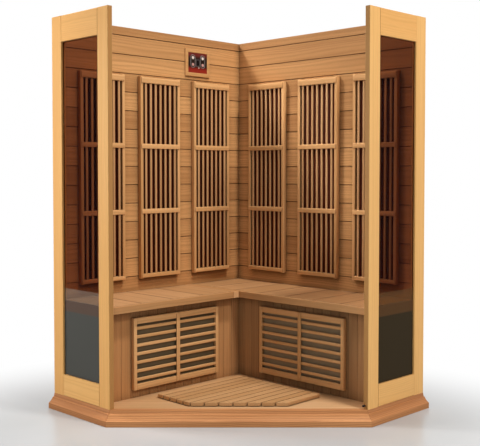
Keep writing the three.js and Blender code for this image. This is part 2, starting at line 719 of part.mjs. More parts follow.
function seatBoards(length) {
  const grooves = evenGrooves(length, SEAT_BOARD_COVER);
  const points = groovedOutline(
    length,
    SEAT_BOARD_THICKNESS,
    grooves,
    SEAT_GROOVE_WIDTH,
    SEAT_GROOVE_DEPTH,
  );
  const boards = alongY(outline(points), 0, SEAT_DEPTH - SEAT_GAP);
  boards.translate(-length / 2, 0, BENCH_HEIGHT - SEAT_BOARD_THICKNESS);
  const battenHeight = BENCH_THICKNESS - SEAT_BOARD_THICKNESS / 2;
  const kickBattenStart = KICK_FACE - KICK_PANEL_THICKNESS / 2 - SEAT_BATTEN_WIDTH / 2;
  const battens = [0, kickBattenStart].map((start) =>
    bar(length - 2 * BENCH_ARRIS, SEAT_BATTEN_WIDTH, battenHeight, start, BENCH_UNDERSIDE),
  );
  return join([boards, ...battens]);
}

function buildBench(side) {
  const bench = wallGroup(side);
  const isThrough = side === 'right';
  const start = isThrough ? SEAT_GAP : BENCH_DEPTH + SEAT_GAP;
  const end = INNER_LENGTH - SEAT_GAP;
  const boardsStart = isThrough ? start : start + END_RAIL_WIDTH + SEAT_GAP;
  const boardsLength = end - boardsStart;

  const seat = piece(`bench_${side}_seat`, seatBoards(boardsLength), 'benchWood');
  seat.position.y = SEAT_GAP;
  const railFace = rectangle(boardsLength, BENCH_THICKNESS);
  const railBar = alongY(railFace, BENCH_DEPTH - FRONT_RAIL_DEPTH, FRONT_RAIL_DEPTH, BENCH_ARRIS);
  railBar.translate(0, 0, BENCH_UNDERSIDE + BENCH_THICKNESS / 2);
  const rail = piece(`bench_${side}_front_rail`, railBar, 'benchWood');
  for (const mesh of [seat, rail]) {
    bench.add(spanFromCorner(mesh, side, boardsStart, end));
  }

  if (!isThrough) {
    const endDepth = BENCH_DEPTH - SEAT_GAP;
    const endBar = bar(END_RAIL_WIDTH, endDepth, BENCH_THICKNESS, SEAT_GAP, BENCH_UNDERSIDE);
    const endRail = piece(`bench_${side}_end_rail`, endBar, 'benchWood');
    bench.add(spanFromCorner(endRail, side, start, start + END_RAIL_WIDTH));
  }

  const cleatStart = isThrough ? SEAT_GAP : SEAT_GAP + CLEAT_DEPTH + SEAT_GAP;
  const cleatFoot = BENCH_UNDERSIDE - SEAT_GAP - CLEAT_HEIGHT;
  const cleatBar = bar(end - cleatStart, CLEAT_DEPTH, CLEAT_HEIGHT, SEAT_GAP, cleatFoot);
  const cleat = piece(`bench_${side}_cleat`, cleatBar, 'benchWood');
  bench.add(spanFromCorner(cleat, side, cleatStart, end));
  return bench;
}

// Kick panels under the bench fronts, with a louvred grille over a leg heater on each

function kickPanel(length) {
  const grooves = evenGrooves(length, KICK_BOARD_COVER);
  const points = groovedOutline(
    length,
    KICK_PANEL_THICKNESS,
    grooves,
    KICK_GROOVE_WIDTH,
    KICK_GROOVE_DEPTH,
  );
  const boards = extrude(outline(points), BENCH_UNDERSIDE - 2 * SEAT_GAP);
  return boards.translate(-length / 2, KICK_FACE - KICK_PANEL_THICKNESS, SEAT_GAP);
}

// Grille centred on x = 0 with its foot on z = 0 and its back on y = 0
function legGrille(width, height) {
  const face = framedOpening(
    width,
    height,
    LEG_GRILLE_STILE_WIDTH,
    LEG_GRILLE_RAIL_HEIGHT,
    LEG_GRILLE_RAIL_HEIGHT,
  );
  const frameDepth = LEG_GRILLE_DEPTH - LEG_CENTRE_STILE_PROUD;
  const frame = alongY(face, 0, frameDepth, GRILLE_ARRIS).translate(0, 0, height / 2);
  const openingHeight = height - 2 * LEG_GRILLE_RAIL_HEIGHT;
  const stileBack = LEG_GRILLE_DEPTH - LEG_CENTRE_STILE_DEPTH;
  const stileHeight = height - 2 * LEG_CENTRE_STILE_INSET;
  const stile = easedBar(
    LEG_CENTRE_STILE_WIDTH,
    LEG_CENTRE_STILE_DEPTH,
    stileHeight,
    stileBack,
    LEG_CENTRE_STILE_INSET,
  );

  const louvreBack = stileBack + SLAT_HOUSING - LOUVRE_DEPTH;
  const louvreLength = width - 2 * LEG_GRILLE_STILE_WIDTH + 2 * SLAT_TENON;
  const louvreRun = openingHeight - 2 * LOUVRE_END_GAP - LOUVRE_HEIGHT;
  const louvres = Array.from({ length: LOUVRE_COUNT }, (_, index) => {
    const rise = LOUVRE_END_GAP + LOUVRE_HEIGHT / 2 + (louvreRun * index) / (LOUVRE_COUNT - 1);
    const section = slatSection(LOUVRE_HEIGHT, LOUVRE_DEPTH, LOUVRE_ROUNDING);
    const louvre = extrude(section, louvreLength).rotateY(Math.PI / 2);
    return louvre.translate(-louvreLength / 2, louvreBack, LEG_GRILLE_RAIL_HEIGHT + rise);
  });
  return join([frame, stile, ...louvres]);
}

function buildKickPanel(side) {
  const kick = wallGroup(side);
  const start = side === 'right' ? KICK_FACE - KICK_PANEL_THICKNESS : KICK_FACE + SEAT_GAP;
  const end = INNER_LENGTH - SEAT_GAP;
  const panel = piece(`kick_panel_${side}`, kickPanel(end - start), 'kickWood');
  kick.add(spanFromCorner(panel, side, start, end));

  const grilleStart = KICK_FACE + LEG_GRILLE_END_MARGIN;
  const grilleEnd = INNER_LENGTH - LEG_GRILLE_END_MARGIN;
  const width = grilleEnd - grilleStart;
  const height = BENCH_UNDERSIDE - 2 * LEG_GRILLE_MARGIN;
  const openingWidth = width - 2 * LEG_GRILLE_STILE_WIDTH;
  const openingHeight = height - 2 * LEG_GRILLE_RAIL_HEIGHT;
  const grille = piece(`leg_grille_${side}`, legGrille(width, height), 'grilleWood');
  const heaterGeometry = heaterPanel(openingWidth, openingHeight, LEG_GRILLE_RAIL_HEIGHT);
  const heater = piece(`leg_heater_${side}`, heaterGeometry, 'heaterBlack');
  for (const mesh of [grille, heater]) {
    spanFromCorner(mesh, side, grilleStart, grilleEnd);
    mesh.position.y = KICK_FACE + SEAT_GAP;
    mesh.position.z = LEG_GRILLE_MARGIN;
    kick.add(mesh);
  }
  return kick;
}

// Control panel: wooden frame, black face with its display, lens and two columns of push buttons

const FACE_WIDTH = CONTROL_WIDTH - 2 * CONTROL_BORDER_SIDE;
const FACE_HEIGHT = CONTROL_HEIGHT - 2 * CONTROL_BORDER_END;
const FACE_FRONT = CONTROL_FACE_STAND_OFF + CONTROL_FACE_THICKNESS;
const BUTTON_PLACES = [];
for (const [column, x] of [['left', -1], ['right', 1]]) {
  for (const [row, z] of [['upper', 1], ['lower', -1]]) {
    BUTTON_PLACES.push({
      name: `button_${row}_${column}`,
      x: (x * BUTTON_COLUMN_SPACING) / 2,
      z: BUTTON_GROUP_RISE + (z * BUTTON_ROW_SPACING) / 2,
    });
  }
}

function controlFace() {
  const shape = rectangle(FACE_WIDTH - 2 * SEAT_GAP, FACE_HEIGHT - 2 * SEAT_GAP);
  for (const { x, z } of BUTTON_PLACES) {
    shape.holes.push(circle(BUTTON_DIAMETER / 2 + BUTTON_CLEARANCE, x, z));
  }
  shape.holes.push(circle(LENS_DIAMETER / 2 + SEAT_GAP, -LENS_LEFT_OF_CENTRE, -LENS_BELOW_CENTRE));
  shape.holes.push(rectangle(DISPLAY_WIDTH + 2 * SEAT_GAP, DISPLAY_HEIGHT + 2 * SEAT_GAP));
  return alongY(shape, CONTROL_FACE_STAND_OFF, CONTROL_FACE_THICKNESS, 0, BUTTON_SEGMENTS / 2);
}

function buttonBezel() {
  const outerHeight = BUTTON_ROW_SPACING + 2 * BEZEL_RADIUS;
  const innerRadius = BEZEL_RADIUS - BEZEL_WIDTH;
  const ring = roundedRectangle(2 * BEZEL_RADIUS, outerHeight, BEZEL_RADIUS);
  ring.holes.push(roundedRectangle(2 * innerRadius, outerHeight - 2 * BEZEL_WIDTH, innerRadius));
  return alongY(ring, FACE_FRONT + SEAT_GAP, BEZEL_HEIGHT, 0, BEZEL_CURVE_STEPS);
}

function buildControlPanel() {
  const wall = wallGroup('left');
  const control = new THREE.Group();
  const foot = GRILLE_FOOT + GRILLE_HEIGHT + CONTROL_ABOVE_GRILLE;
  control.position.set(CONTROL_FROM_CORNER - INNER_LENGTH / 2, SEAT_GAP, foot + CONTROL_HEIGHT / 2);
  wall.add(control);

  const frameFace = framedOpening(
    CONTROL_WIDTH,
    CONTROL_HEIGHT,
    CONTROL_BORDER_SIDE,
    CONTROL_BORDER_END,
    CONTROL_BORDER_END,
  );
  control.add(piece('control_frame', alongY(frameFace, 0, CONTROL_DEPTH, CONTROL_ARRIS), 'grilleWood'));
  control.add(piece('control_face', controlFace(), 'controlBlack'));

  const displayFace = rectangle(DISPLAY_WIDTH, DISPLAY_HEIGHT);
  const displayDepth = CONTROL_FACE_THICKNESS + DISPLAY_PROUD;
  const display = alongY(displayFace, CONTROL_FACE_STAND_OFF, displayDepth);
  control.add(piece('display_window', display, 'controlBlack'));

  const lensLength = CONTROL_FACE_THICKNESS + LENS_PROUD;
  const lensPin = crownedPin(LENS_DIAMETER, lensLength, LENS_PROUD, BUTTON_SEGMENTS);
  const lens = piece('indicator_lens', lensPin, 'buttonWhite');
  lens.position.set(-LENS_LEFT_OF_CENTRE, CONTROL_FACE_STAND_OFF, -LENS_BELOW_CENTRE);
  control.add(lens);

  for (const [column, x] of [['left', -1], ['right', 1]]) {
    const bezel = piece(`button_bezel_${column}`, buttonBezel(), 'bezelGrey');
    bezel.position.set((x * BUTTON_COLUMN_SPACING) / 2, 0, BUTTON_GROUP_RISE);
    control.add(bezel);
  }
  for (const { name, x, z } of BUTTON_PLACES) {
    const length = CONTROL_FACE_THICKNESS + BUTTON_PROUD;
    const pin = crownedPin(BUTTON_DIAMETER, length, BUTTON_CROWN, BUTTON_SEGMENTS);
    const button = piece(name, pin, 'buttonWhite');
    button.position.set(x, CONTROL_FACE_STAND_OFF, z);
    control.add(button);
  }
  return wall;
}

// Duckboard: planks along the right-hand diagonal, all on battens that cross beneath them

function duckboard() {
  const insets = [
    DUCKBOARD_FRONT_GAP,
    SIDE_THICKNESS + DUCKBOARD_SIDE_GAP,
    REAR_THICKNESS + KICK_FACE + DUCKBOARD_REAR_GAP,
  ];
  const span = REAR_WALL_LENGTH - insets[1] - insets[2];
  const plankCount = Math.max(1, Math.round(span / DUCKBOARD_PLANK_PITCH));
  const pitch = (span + DUCKBOARD_PLANK_GAP) / plankCount;
  const plankFoot = DUCKBOARD_BATTEN_THICKNESS;
  const sheet = extrude(outline(planCorners(...insets)), DUCKBOARD_PLANK_THICKNESS);
  sheet.translate(0, 0, plankFoot);

  const diagonal = Math.PI / 4;
  const firstEdge = SIDE_DISTANCE - insets[1];
  const gaps = Array.from({ length: plankCount - 1 }, (_, index) => {
    const edge = firstEdge - (index + 1) * pitch + DUCKBOARD_PLANK_GAP / 2;
    const slot = bar(REAR_WALL_LENGTH, DUCKBOARD_PLANK_GAP, 2 * DUCKBOARD_PLANK_THICKNESS, 0, 0);
    return slot.translate(0, -edge - DUCKBOARD_PLANK_GAP / 2, 0).rotateZ(diagonal);
  });
  const planks = solidOf(cut(sheet, gaps));

  const inner = insets.map((inset) => inset + DUCKBOARD_BATTEN_SETBACK);
  const battenHeight = DUCKBOARD_BATTEN_THICKNESS + DUCKBOARD_BATTEN_HOUSING;
  const battenArea = solidOf(extrude(outline(planCorners(...inner)), battenHeight));
  const plankRun = REAR_WALL_LENGTH - insets[1] - insets[2] - 2 * DUCKBOARD_BATTEN_SETBACK;
  const battenSpacing = (plankRun - DUCKBOARD_BATTEN_WIDTH) / (DUCKBOARD_BATTEN_COUNT - 1);
  let board = planks;
  for (let index = 0; index < DUCKBOARD_BATTEN_COUNT; index += 1) {
    const near = inner[1] - SIDE_DISTANCE + index * battenSpacing;
    const strip = new THREE.BoxGeometry(DUCKBOARD_BATTEN_WIDTH, REAR_WALL_LENGTH, 2 * battenHeight);
    strip.translate(near + DUCKBOARD_BATTEN_WIDTH / 2, 0, 0).rotateZ(diagonal);
    board = board.add(solidOf(strip).intersect(battenArea));
  }
  return geometryOf(board).translate(0, 0, SEAT_GAP);
}

// Assembly: everything above the plinth stands on the floor level

function buildRoom() {
  const room = new THREE.Group();
  room.position.z = PLINTH_HEIGHT;
  room.add(buildSidePanel('left', 1), buildSidePanel('right', -1), buildPeg());
  for (const side of Object.keys(WALLS)) {
    room.add(buildRearWall(side), buildWallHeaters(side), buildBench(side), buildKickPanel(side));
  }
  room.add(buildControlPanel());
  room.add(piece('duckboard', duckboard(), 'floorWood'));
  return room;
}

const cabin = new THREE.Group();
cabin.add(buildBase(), buildRoom());

export default cabin;
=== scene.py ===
"""Corner infrared sauna cabin: wood, glass and control materials, fine grilles, light and camera."""

import math
import random

import bmesh
import bpy
from mathutils import Matrix, Vector


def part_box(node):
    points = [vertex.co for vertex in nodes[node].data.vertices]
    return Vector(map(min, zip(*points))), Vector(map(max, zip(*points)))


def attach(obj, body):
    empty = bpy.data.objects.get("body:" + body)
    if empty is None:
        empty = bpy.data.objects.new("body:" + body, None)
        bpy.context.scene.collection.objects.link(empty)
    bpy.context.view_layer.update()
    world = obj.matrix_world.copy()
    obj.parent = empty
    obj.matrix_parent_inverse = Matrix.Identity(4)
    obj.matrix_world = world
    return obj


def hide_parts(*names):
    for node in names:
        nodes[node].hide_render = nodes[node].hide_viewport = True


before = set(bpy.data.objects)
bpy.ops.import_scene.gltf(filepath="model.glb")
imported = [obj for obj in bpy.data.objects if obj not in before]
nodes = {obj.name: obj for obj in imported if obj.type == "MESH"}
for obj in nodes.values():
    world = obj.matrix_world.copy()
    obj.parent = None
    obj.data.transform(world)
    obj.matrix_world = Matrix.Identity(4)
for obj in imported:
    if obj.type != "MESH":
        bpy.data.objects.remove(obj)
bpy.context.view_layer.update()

MM = 0.001

# Turn about Z of each face of the cabin: local X runs along the face, local Y points into the room
TURNS = {
    "front": 0.0,
    "wall_left": -135.0,
    "wall_right": 135.0,
    "side_left": -45.0,
    "side_right": 45.0,
}


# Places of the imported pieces


def turn_of(face):
    return Matrix.Rotation(math.radians(TURNS[face]), 4, "Z")


def extents(node, face):
    """Lowest and highest corner of a node in the frame of a face."""
    back = turn_of(face).inverted()
    points = [back @ vertex.co for vertex in nodes[node].data.vertices]
    low = Vector([min(p[i] for p in points) for i in range(3)])
    high = Vector([max(p[i] for p in points) for i in range(3)])
    return low, high


# Shader helpers


def linear(code):
    """Linear colour of a hex code."""
    channels = [int(code[i : i + 2], 16) / 255 for i in (0, 2, 4)]
    return [c / 12.92 if c <= 0.04045 else ((c + 0.055) / 1.055) ** 2.4 for c in channels]


class Shader:
    """A material under construction."""

    def __init__(self, name):
        self.material = bpy.data.materials.new(name)
        self.material.use_nodes = True
        self.tree = self.material.node_tree
        self.surface = self.tree.nodes["Principled BSDF"]

    def node(self, kind, **settings):
        made = self.tree.nodes.new(kind)
        for key, value in settings.items():
            setattr(made, key, value)
        return made

    def put(self, socket, value):
        if isinstance(value, bpy.types.NodeSocket):
            self.tree.links.new(value, socket)
        else:
            socket.default_value = value

    def math(self, operation, first, second=0.0, third=0.0, clamp=False):
        made = self.node("ShaderNodeMath", operation=operation, use_clamp=clamp)
        for socket, value in zip(made.inputs, (first, second, third)):
            self.put(socket, value)
        return made.outputs[0]

    def ramp(self, value, low, high):
        """Smooth step from 0 at low to 1 at high."""
        made = self.node("ShaderNodeMapRange", interpolation_type="SMOOTHSTEP")
        self.put(made.inputs["Value"], value)
        made.inputs["From Min"].default_value = low
        made.inputs["From Max"].default_value = high
        return made.outputs["Result"]

    def mix(self, factor, first, second, blend="MIX"):
        made = self.node("ShaderNodeMix", data_type="RGBA", blend_type=blend)
        self.put(made.inputs[0], factor)
        for socket, value in ((made.inputs[6], first), (made.inputs[7], second)):
            self.put(socket, value if isinstance(value, bpy.types.NodeSocket) else (*value, 1.0))
        return made.outputs[2]

    def combine(self, x, y, z):
        made = self.node("ShaderNodeCombineXYZ")
        for socket, value in zip(made.inputs, (x, y, z)):
            self.put(socket, value)
        return made.outputs[0]

    def separate(self, vector):
        made = self.node("ShaderNodeSeparateXYZ")
        self.put(made.inputs[0], vector)
        return list(made.outputs)

    def noise(self, vector, scales, detail=2.0, rough=0.5):
        """Noise on a vector stretched by a scale on each axis."""
        stretched = self.node("ShaderNodeVectorMath", operation="MULTIPLY")
        self.put(stretched.inputs[0], vector)
        stretched.inputs[1].default_value = scales
        made = self.node("ShaderNodeTexNoise")
        self.put(made.inputs["Vector"], stretched.outputs[0])
        made.inputs["Scale"].default_value = 1.0
        made.inputs["Detail"].default_value = detail
        made.inputs["Roughness"].default_value = rough
        return made.outputs["Fac"]

    def openness(self, reach, lift=0.0):
        """From 0 in a tight corner to 1 on an open face, looking upwards by a lift."""
        made = self.node("ShaderNodeAmbientOcclusion", samples=CORNER_SAMPLES)
        made.inputs["Distance"].default_value = reach
        if lift:
            raised = self.node("ShaderNodeVectorMath", operation="ADD")
            self.put(raised.inputs[0], self.node("ShaderNodeNewGeometry").outputs["Normal"])
            raised.inputs[1].default_value = (0.0, 0.0, lift)
            unit = self.node("ShaderNodeVectorMath", operation="NORMALIZE")
            self.put(unit.inputs[0], raised.outputs[0])
            self.put(made.inputs["Normal"], unit.outputs[0])
        return made.outputs["AO"]

    def object_vector(self, face, output="Object"):
        """Object position or normal in the frame of a face."""
        source = self.node("ShaderNodeTexCoord")
        turned = self.node("ShaderNodeMapping", vector_type="POINT")
        turned.inputs["Rotation"].default_value = (0.0, 0.0, -math.radians(TURNS[face]))
        self.put(turned.inputs["Vector"], source.outputs[output])
        return turned.outputs[0]

    def bump(self, height, strength, distance):
        made = self.node("ShaderNodeBump")
        made.inputs["Strength"].default_value = strength
        made.inputs["Distance"].default_value = distance
        self.put(made.inputs["Height"], height)
        self.put(self.surface.inputs["Normal"], made.outputs[0])

    def set(self, **values):
        for name, value in values.items():
            self.put(self.surface.inputs[name.replace("_", " ")], value)


# Wood

# Painted shade that darkens corners and the wood under ledges
CORNER_REACH = 55 * MM
CORNER_SAMPLES = 3
LEDGE_REACH = 48 * MM
LEDGE_LIFT = 2.0


class Palette:
    """Colours of one wood: pale ground, deep ground, late-wood line and cut end.

    Contrast scales its streaks, and corner and ledge are how strongly painted shade darkens it in corners
    and under ledges.
    """

    def __init__(self, pale, deep, line, end, contrast=1.0, corner=0.0, ledge=0.0):
        self.pale = linear(pale)
        self.deep = linear(deep)
        self.line = linear(line)
        self.end = linear(end)
        self.contrast = contrast
        self.corner = corner
        self.ledge = ledge


def board_frame(shader, face, order, low, high, pitch, start, seed, edges):
    """Position in one board, half sizes and a random number for it, from the object's position."""
    axes = ["xyz".index(letter) for letter in order]
    position = shader.separate(shader.object_vector(face))
    middle = (low + high) / 2
    half = (high - low) / 2
    along, across, depth = (
        shader.math("SUBTRACT", position[axis], middle[axis]) for axis in axes
    )
    half_across = half[axes[1]]
    if pitch:
        steps = shader.math("SUBTRACT", position[axes[1]], start)
        steps = shader.math("DIVIDE", steps, pitch)
        index = shader.math("FLOOR", steps)
        across = shader.math("SUBTRACT", shader.math("SUBTRACT", steps, index), 0.5)
        across = shader.math("MULTIPLY", across, pitch)
        half_across = pitch / 2
        draw = shader.node("ShaderNodeTexWhiteNoise", noise_dimensions="1D")
        shader.put(draw.inputs["W"], shader.math("ADD", index, seed))
        seed = draw.outputs["Value"]
    normal = shader.separate(shader.object_vector(face, "Normal"))
    facing_end = shader.math("ABSOLUTE", normal[axes[0]])
    if edges:
        facing_end = shader.math("MAXIMUM", facing_end, shader.math("ABSOLUTE", normal[axes[1]]))
    end = shader.ramp(facing_end, 0.6, 0.8)
    return (along, across, depth), (half[axes[0]], half_across, half[axes[2]]), seed, end


def member_frame(shader):
    """The same from the values stored with each member of a built piece."""
    place = shader.node("ShaderNodeAttribute", attribute_name="grain")
    size = shader.node("ShaderNodeAttribute", attribute_name="half")
    draw = shader.node("ShaderNodeAttribute", attribute_name="seed")
    position = shader.separate(place.outputs["Vector"])
    half = shader.separate(size.outputs["Vector"])
    to_end = shader.math("SUBTRACT", half[0], shader.math("ABSOLUTE", position[0]))
    end = shader.ramp(to_end, 0.6 * MM, 0.2 * MM)
    return position, half, draw.outputs["Fac"], end


def wood(name, palette, board, groove=0.0, gloss=0.5):
    """Sawn wood with growth rings, streaks, fibres, rubbed arrises, cut ends, dark joints, and painted
    shade in corners and under ledges.
    """
    shader = Shader(name)
    position, half, seed, end = board(shader)
    along, across, depth = position

    shifted = [
        shader.math("MULTIPLY_ADD", seed, reach, value)
        for value, reach in zip(position, (17.3, 5.1, 7.7))
    ]
    point = shader.combine(*shifted)

    sway = shader.math("SUBTRACT", shader.noise(point, (1.7, 8.0, 8.0), 2.0), 0.5)
    radial_across = shader.math("MULTIPLY_ADD", sway, 0.05, across)
    tilt = shader.math("MULTIPLY_ADD", seed, 0.11, -0.055)
    radial_across = shader.math("ADD", radial_across, tilt)
    radial_depth = shader.math("ADD", depth, 0.045)
    radius = shader.math("SQRT", shader.math(
        "ADD",
        shader.math("MULTIPLY", radial_across, radial_across),
        shader.math("MULTIPLY", radial_depth, radial_depth),
    ))
    rings = shader.math("SINE", shader.math("MULTIPLY", radius, 2 * math.pi / (8.5 * MM)))
    rings = shader.math("POWER", shader.math("MULTIPLY_ADD", rings, 0.5, 0.5), 2.5)

    streak = shader.noise(point, (1.1, 34.0, 34.0), 3.0, 0.6)
    cloud = shader.noise(point, (1.3, 4.0, 4.0), 1.0)
    fibre = shader.noise(point, (16.0, 620.0, 620.0), 2.0, 0.6)

    draw = shader.node("ShaderNodeTexWhiteNoise", noise_dimensions="1D")
    shader.put(draw.inputs["W"], shader.math("MULTIPLY", seed, 91.7))
    depth_of_tone = shader.math("MULTIPLY_ADD", draw.outputs["Value"], 0.62, -0.06)
    for value, share in ((streak, 0.95), (cloud, 0.55)):
        centred = shader.math("SUBTRACT", value, 0.5)
        share *= palette.contrast
        depth_of_tone = shader.math("MULTIPLY_ADD", centred, share, depth_of_tone)
    depth_of_tone = shader.math("ADD", depth_of_tone, 0.2, clamp=True)
    colour = shader.mix(depth_of_tone, palette.pale, palette.deep)
    colour = shader.mix(shader.math("MULTIPLY", rings, 0.34 * palette.contrast), colour, palette.line)
    fine = shader.math("MULTIPLY_ADD", shader.math("SUBTRACT", fibre, 0.5), 0.22, 1.0)
    colour = shader.mix(1.0, colour, shader.combine(fine, fine, fine), "MULTIPLY")

    reach = [
        shader.math("SUBTRACT", size, shader.math("ABSOLUTE", value))
        for size, value in zip(half, position)
    ]
    nearer = shader.math("MINIMUM", reach[0], reach[1])
    further = shader.math("MAXIMUM", reach[0], reach[1])
    arris = shader.math("MAXIMUM", nearer, shader.math("MINIMUM", further, reach[2]))
    rub = shader.math("MULTIPLY", shader.ramp(arris, 3.0 * MM, 0.5 * MM), cloud)
    colour = shader.mix(shader.math("MULTIPLY", rub, 0.4), colour, palette.pale)
    colour = shader.mix(shader.math("MULTIPLY", end, 0.75), colour, palette.end)
    if groove:
        joint = shader.ramp(reach[1], groove, 0.35 * groove)
        colour = shader.mix(shader.math("MULTIPLY", joint, 0.8), colour, palette.end)

    # Painted shade: the wood darkens in corners by how closed in it is.
    if palette.corner:
        corner_unshaded = shader.math("POWER", shader.openness(CORNER_REACH), palette.corner)
        colour = shader.mix(1.0, colour, shader.combine(corner_unshaded, corner_unshaded, corner_unshaded), "MULTIPLY")
    # Painted shade under ledges, as of light falling from above.
    if palette.ledge:
        lit = shader.ramp(shader.openness(LEDGE_REACH, LEDGE_LIFT), 0.15, 0.55)
        lit = shader.math("MULTIPLY_ADD", lit, palette.ledge, 1.0 - palette.ledge)
        colour = shader.mix(1.0, colour, shader.combine(lit, lit, lit), "MULTIPLY")

    roughness = shader.math("MULTIPLY_ADD", fibre, 0.24, gloss - 0.12)
    shader.set(Base_Color=colour, Roughness=roughness, Specular_IOR_Level=0.14)
    height = shader.math("MULTIPLY_ADD", rings, 0.5, fibre)
    shader.bump(height, 0.22, 0.4 * MM)
    return shader.material


FRAME_WOOD = Palette("f0ba72", "e4a65e", "d4964e", "946638", 0.8)
WALL_WOOD = Palette("dca66c", "ac7849", "9a6a3c", "7c4c24", 1.0, 0.22, 0.75)
GRILLE_WOOD = Palette("e4b078", "c8945d", "b6844f", "8a5e35", 1.0, 0.35)
# The slats wear a darker copy of the grille wood: painted shade for their set-back place.
SLAT_SHADED_WOOD = Palette("d0a070", "b48456", "a47648", "7e5634", 1.0, 0.4)
BENCH_WOOD = Palette("d6a678", "ae8052", "a27448", "462c16", 1.0, 0.5)
RAIL_WOOD = Palette("c69462", "aa784a", "9a6c40", "744c2a", 1.0, 0.4)
# Its cut ends are as pale as its face: painted light on the frame's shaded side faces.
CONTROL_WOOD = Palette("deaa72", "c28e58", "b07e4a", "e6b47c")
# Its cut end is paler than its face: painted light on the end seen at the front.
END_RAIL_WOOD = Palette("c69462", "aa784a", "9a6c40", "dcaa78")
# The right kick wood is a darker copy of the left: painted shade on the right kick.
KICK_WOOD = {
    "left": Palette("d29c68", "b6804e", "a67244", "86582f", 0.9, 0.4, 0.4),
    "right": Palette("be9060", "a0764e", "926a44", "745434", 0.9, 0.45, 0.4),
}
FLOOR_WOOD = Palette("e8be92", "c49666", "b28456", "94683c", 1.5)
# Its cut ends are paler than its face: painted light on the plank ends.
DUCK_WOOD = Palette("cc9e6e", "b68655", "a67649", "d8a872", 1.0, 0.25)
PLINTH_WOOD = Palette("d59560", "a86c3e", "965d36", "864d2d", 1.4)


def dress(node, palette, face, order, seed, pitch=0.0, start=0.0, groove=0.0, gloss=0.5, edges=False):
    """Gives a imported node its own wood, with the grain along the first axis in order."""
    low, high = extents(node, face)

    def board(shader):
        return board_frame(shader, face, order, low, high, pitch, start, seed, edges)

    target = nodes[node]
    target.data.materials.clear()
    target.data.materials.append(wood(node, palette, board, groove, gloss))


# Built pieces


class Members:
    """Rounded members gathered into one mesh, each with its own place in the grain."""

    def __init__(self, seed):
        self.random = random.Random(seed)
        self.points = []
        self.faces = []
        self.grain = []
        self.half = []
        self.seeds = []
        self.woods = []

    def add(self, low, high, order, arris, wood_index=0, steps=3):
        """One member between two corners, the grain along the first axis in order."""
        low, high = Vector(low), Vector(high)
        middle, half = (low + high) / 2, (high - low) / 2
        axes = ["xyz".index(letter) for letter in order]
        shape = bmesh.new()
        bmesh.ops.create_cube(shape, size=2.0)
        bmesh.ops.scale(shape, vec=half, verts=shape.verts)
        bmesh.ops.bevel(
            shape,
            geom=shape.edges[:],
            offset=min(arris, 0.45 * min(half) * 2),
            segments=steps,
            profile=0.5,
            affect="EDGES",
        )
        first = len(self.points)
        seed = self.random.random()
        shape.verts.index_update()
        for vertex in shape.verts:
            self.points.append(vertex.co + middle)
            self.grain.append([vertex.co[axis] for axis in axes])
            self.half.append([half[axis] for axis in axes])
            self.seeds.append(seed)
        for face in shape.faces:
            self.faces.append([first + vertex.index for vertex in face.verts])
            self.woods.append(wood_index)
        shape.free()


def new_mesh(name, points, faces, face_frame):
    """Object from points in the frame of a face of the cabin."""
    mesh = bpy.data.meshes.new(name)
    turn = turn_of(face_frame)
    mesh.from_pydata([turn @ Vector(p) for p in points], [], faces)
    mesh.validate()
    made = bpy.data.objects.new(name, mesh)
    bpy.context.scene.collection.objects.link(made)
    return made


def smooth(made, angle=35.0):
    """Smooth shading with edges sharper than an angle kept."""
    shape = bmesh.new()
    shape.from_mesh(made.data)
    bmesh.ops.recalc_face_normals(shape, faces=shape.faces)
    for face in shape.faces:
        face.smooth = True
    for edge in shape.edges:
        edge.smooth = edge.calc_face_angle(0.0) < math.radians(angle)
    shape.to_mesh(made.data)
    shape.free()


def timber(name, members, face, woods, body, replaced):
    """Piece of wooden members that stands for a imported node."""
    made = new_mesh(name, members.points, members.faces, face)
    for label, kind, key, values in (
        ("grain", "FLOAT_VECTOR", "vector", members.grain),
        ("half", "FLOAT_VECTOR", "vector", members.half),
        ("seed", "FLOAT", "value", members.seeds),
    ):
        layer = made.data.attributes.new(label, kind, "POINT")
        flat = [x for v in values for x in v] if key == "vector" else values
        layer.data.foreach_set(key, flat)
    smooth(made)
    for material in woods:
        made.data.materials.append(material)
    made.data.polygons.foreach_set("material_index", members.woods)
    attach(made, body)
    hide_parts(replaced)
    return made


# Heater grilles on the rear walls

GRILLE_STILE = 17 * MM
GRILLE_TOP_RAIL = 35 * MM
GRILLE_BOTTOM_RAIL = 24 * MM
GRILLE_END_DEPTH = 28 * MM
GRILLE_MIDDLE_RAIL = 25 * MM
GRILLE_MIDDLE_DEPTH = 6 * MM
RAIL_PROUD = 4 * MM
RAIL_INSET = 4 * MM
SLATS = 7
SLAT_WIDTH = 14 * MM
SLAT_DEPTH = 8 * MM
SLAT_END_GAP = 12.5 * MM
SLAT_ROUNDING = 4 * MM
HOUSING = 2 * MM
TENON = 6 * MM
ARRIS = 2 * MM
JOINT_STEP = 0.6 * MM

grille_wood = wood("grille_wood", GRILLE_WOOD, member_frame)
slat_shaded_wood = wood("slat_shaded_wood", SLAT_SHADED_WOOD, member_frame)
SLAT = 1


